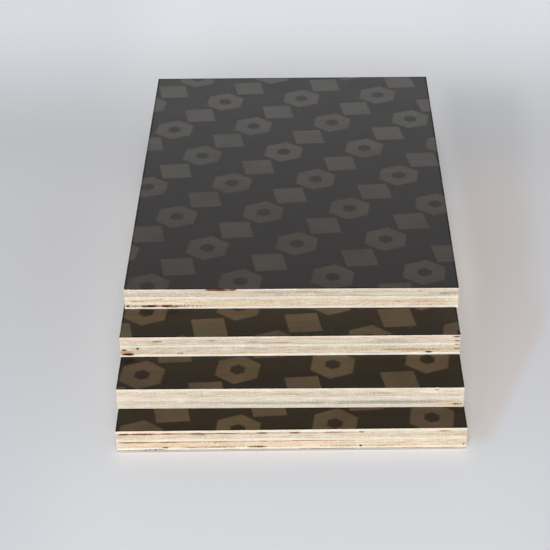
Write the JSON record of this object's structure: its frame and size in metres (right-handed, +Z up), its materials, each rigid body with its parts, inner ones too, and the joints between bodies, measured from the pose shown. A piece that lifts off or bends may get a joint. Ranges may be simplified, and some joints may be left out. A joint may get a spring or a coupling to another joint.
{
  "type": "stack of film-faced plywood sheets",
  "caption": "Staircase stack of film-faced plywood sheets, laid flat and stepped forward, with bare sawn edges showing the plies.",
  "frame": {"origin": "on the floor, under the middle of the stack's bounding box", "axes": "+Z up through the sheets, +Y from the stepped front edges to the back along the sheets' length, +X to the right along the front edges"},
  "size_m": [0.2132, 0.3916, 0.0596],
  "materials": {
    "face_film": "dark brown phenolic paper film, satin, with worn olive-brown print in slanting rows",
    "back_film": "dark brown phenolic paper film, satin and plain",
    "long_grain_veneer": "pale cream hardwood veneer, sawn along the grain at the front edge, bare",
    "cross_grain_veneer": "pale tan hardwood veneer, sawn across the grain at the front edge, bare and slightly rough"
  },
  "bodies": {
    "root": {"sheet_1_back_film": "back_film", "sheet_1_back_veneer": "long_grain_veneer", "sheet_1_lower_core_outer": "cross_grain_veneer", "sheet_1_lower_core_inner": "cross_grain_veneer", "sheet_1_centre_veneer": "long_grain_veneer", "sheet_1_upper_core_inner": "cross_grain_veneer", "sheet_1_upper_core_outer": "cross_grain_veneer", "sheet_1_face_veneer": "long_grain_veneer", "sheet_1_face_film": "face_film", "sheet_2_back_film": "back_film", "sheet_2_back_veneer": "long_grain_veneer", "sheet_2_lower_core_outer": "cross_grain_veneer", "sheet_2_lower_core_inner": "cross_grain_veneer", "sheet_2_centre_veneer": "long_grain_veneer", "sheet_2_upper_core_inner": "cross_grain_veneer", "sheet_2_upper_core_outer": "cross_grain_veneer", "sheet_2_face_veneer": "long_grain_veneer", "sheet_2_face_film": "face_film", "sheet_3_back_film": "back_film", "sheet_3_back_veneer": "long_grain_veneer", "sheet_3_lower_core_outer": "cross_grain_veneer", "sheet_3_lower_core_inner": "cross_grain_veneer", "sheet_3_centre_veneer": "long_grain_veneer", "sheet_3_upper_core_inner": "cross_grain_veneer", "sheet_3_upper_core_outer": "cross_grain_veneer", "sheet_3_face_veneer": "long_grain_veneer", "sheet_3_face_film": "face_film", "sheet_4_back_film": "back_film", "sheet_4_back_veneer": "long_grain_veneer", "sheet_4_lower_core_outer": "cross_grain_veneer", "sheet_4_lower_core_inner": "cross_grain_veneer", "sheet_4_centre_veneer": "long_grain_veneer", "sheet_4_upper_core_inner": "cross_grain_veneer", "sheet_4_upper_core_outer": "cross_grain_veneer", "sheet_4_face_veneer": "long_grain_veneer", "sheet_4_face_film": "face_film"}
  },
  "joints": []
}
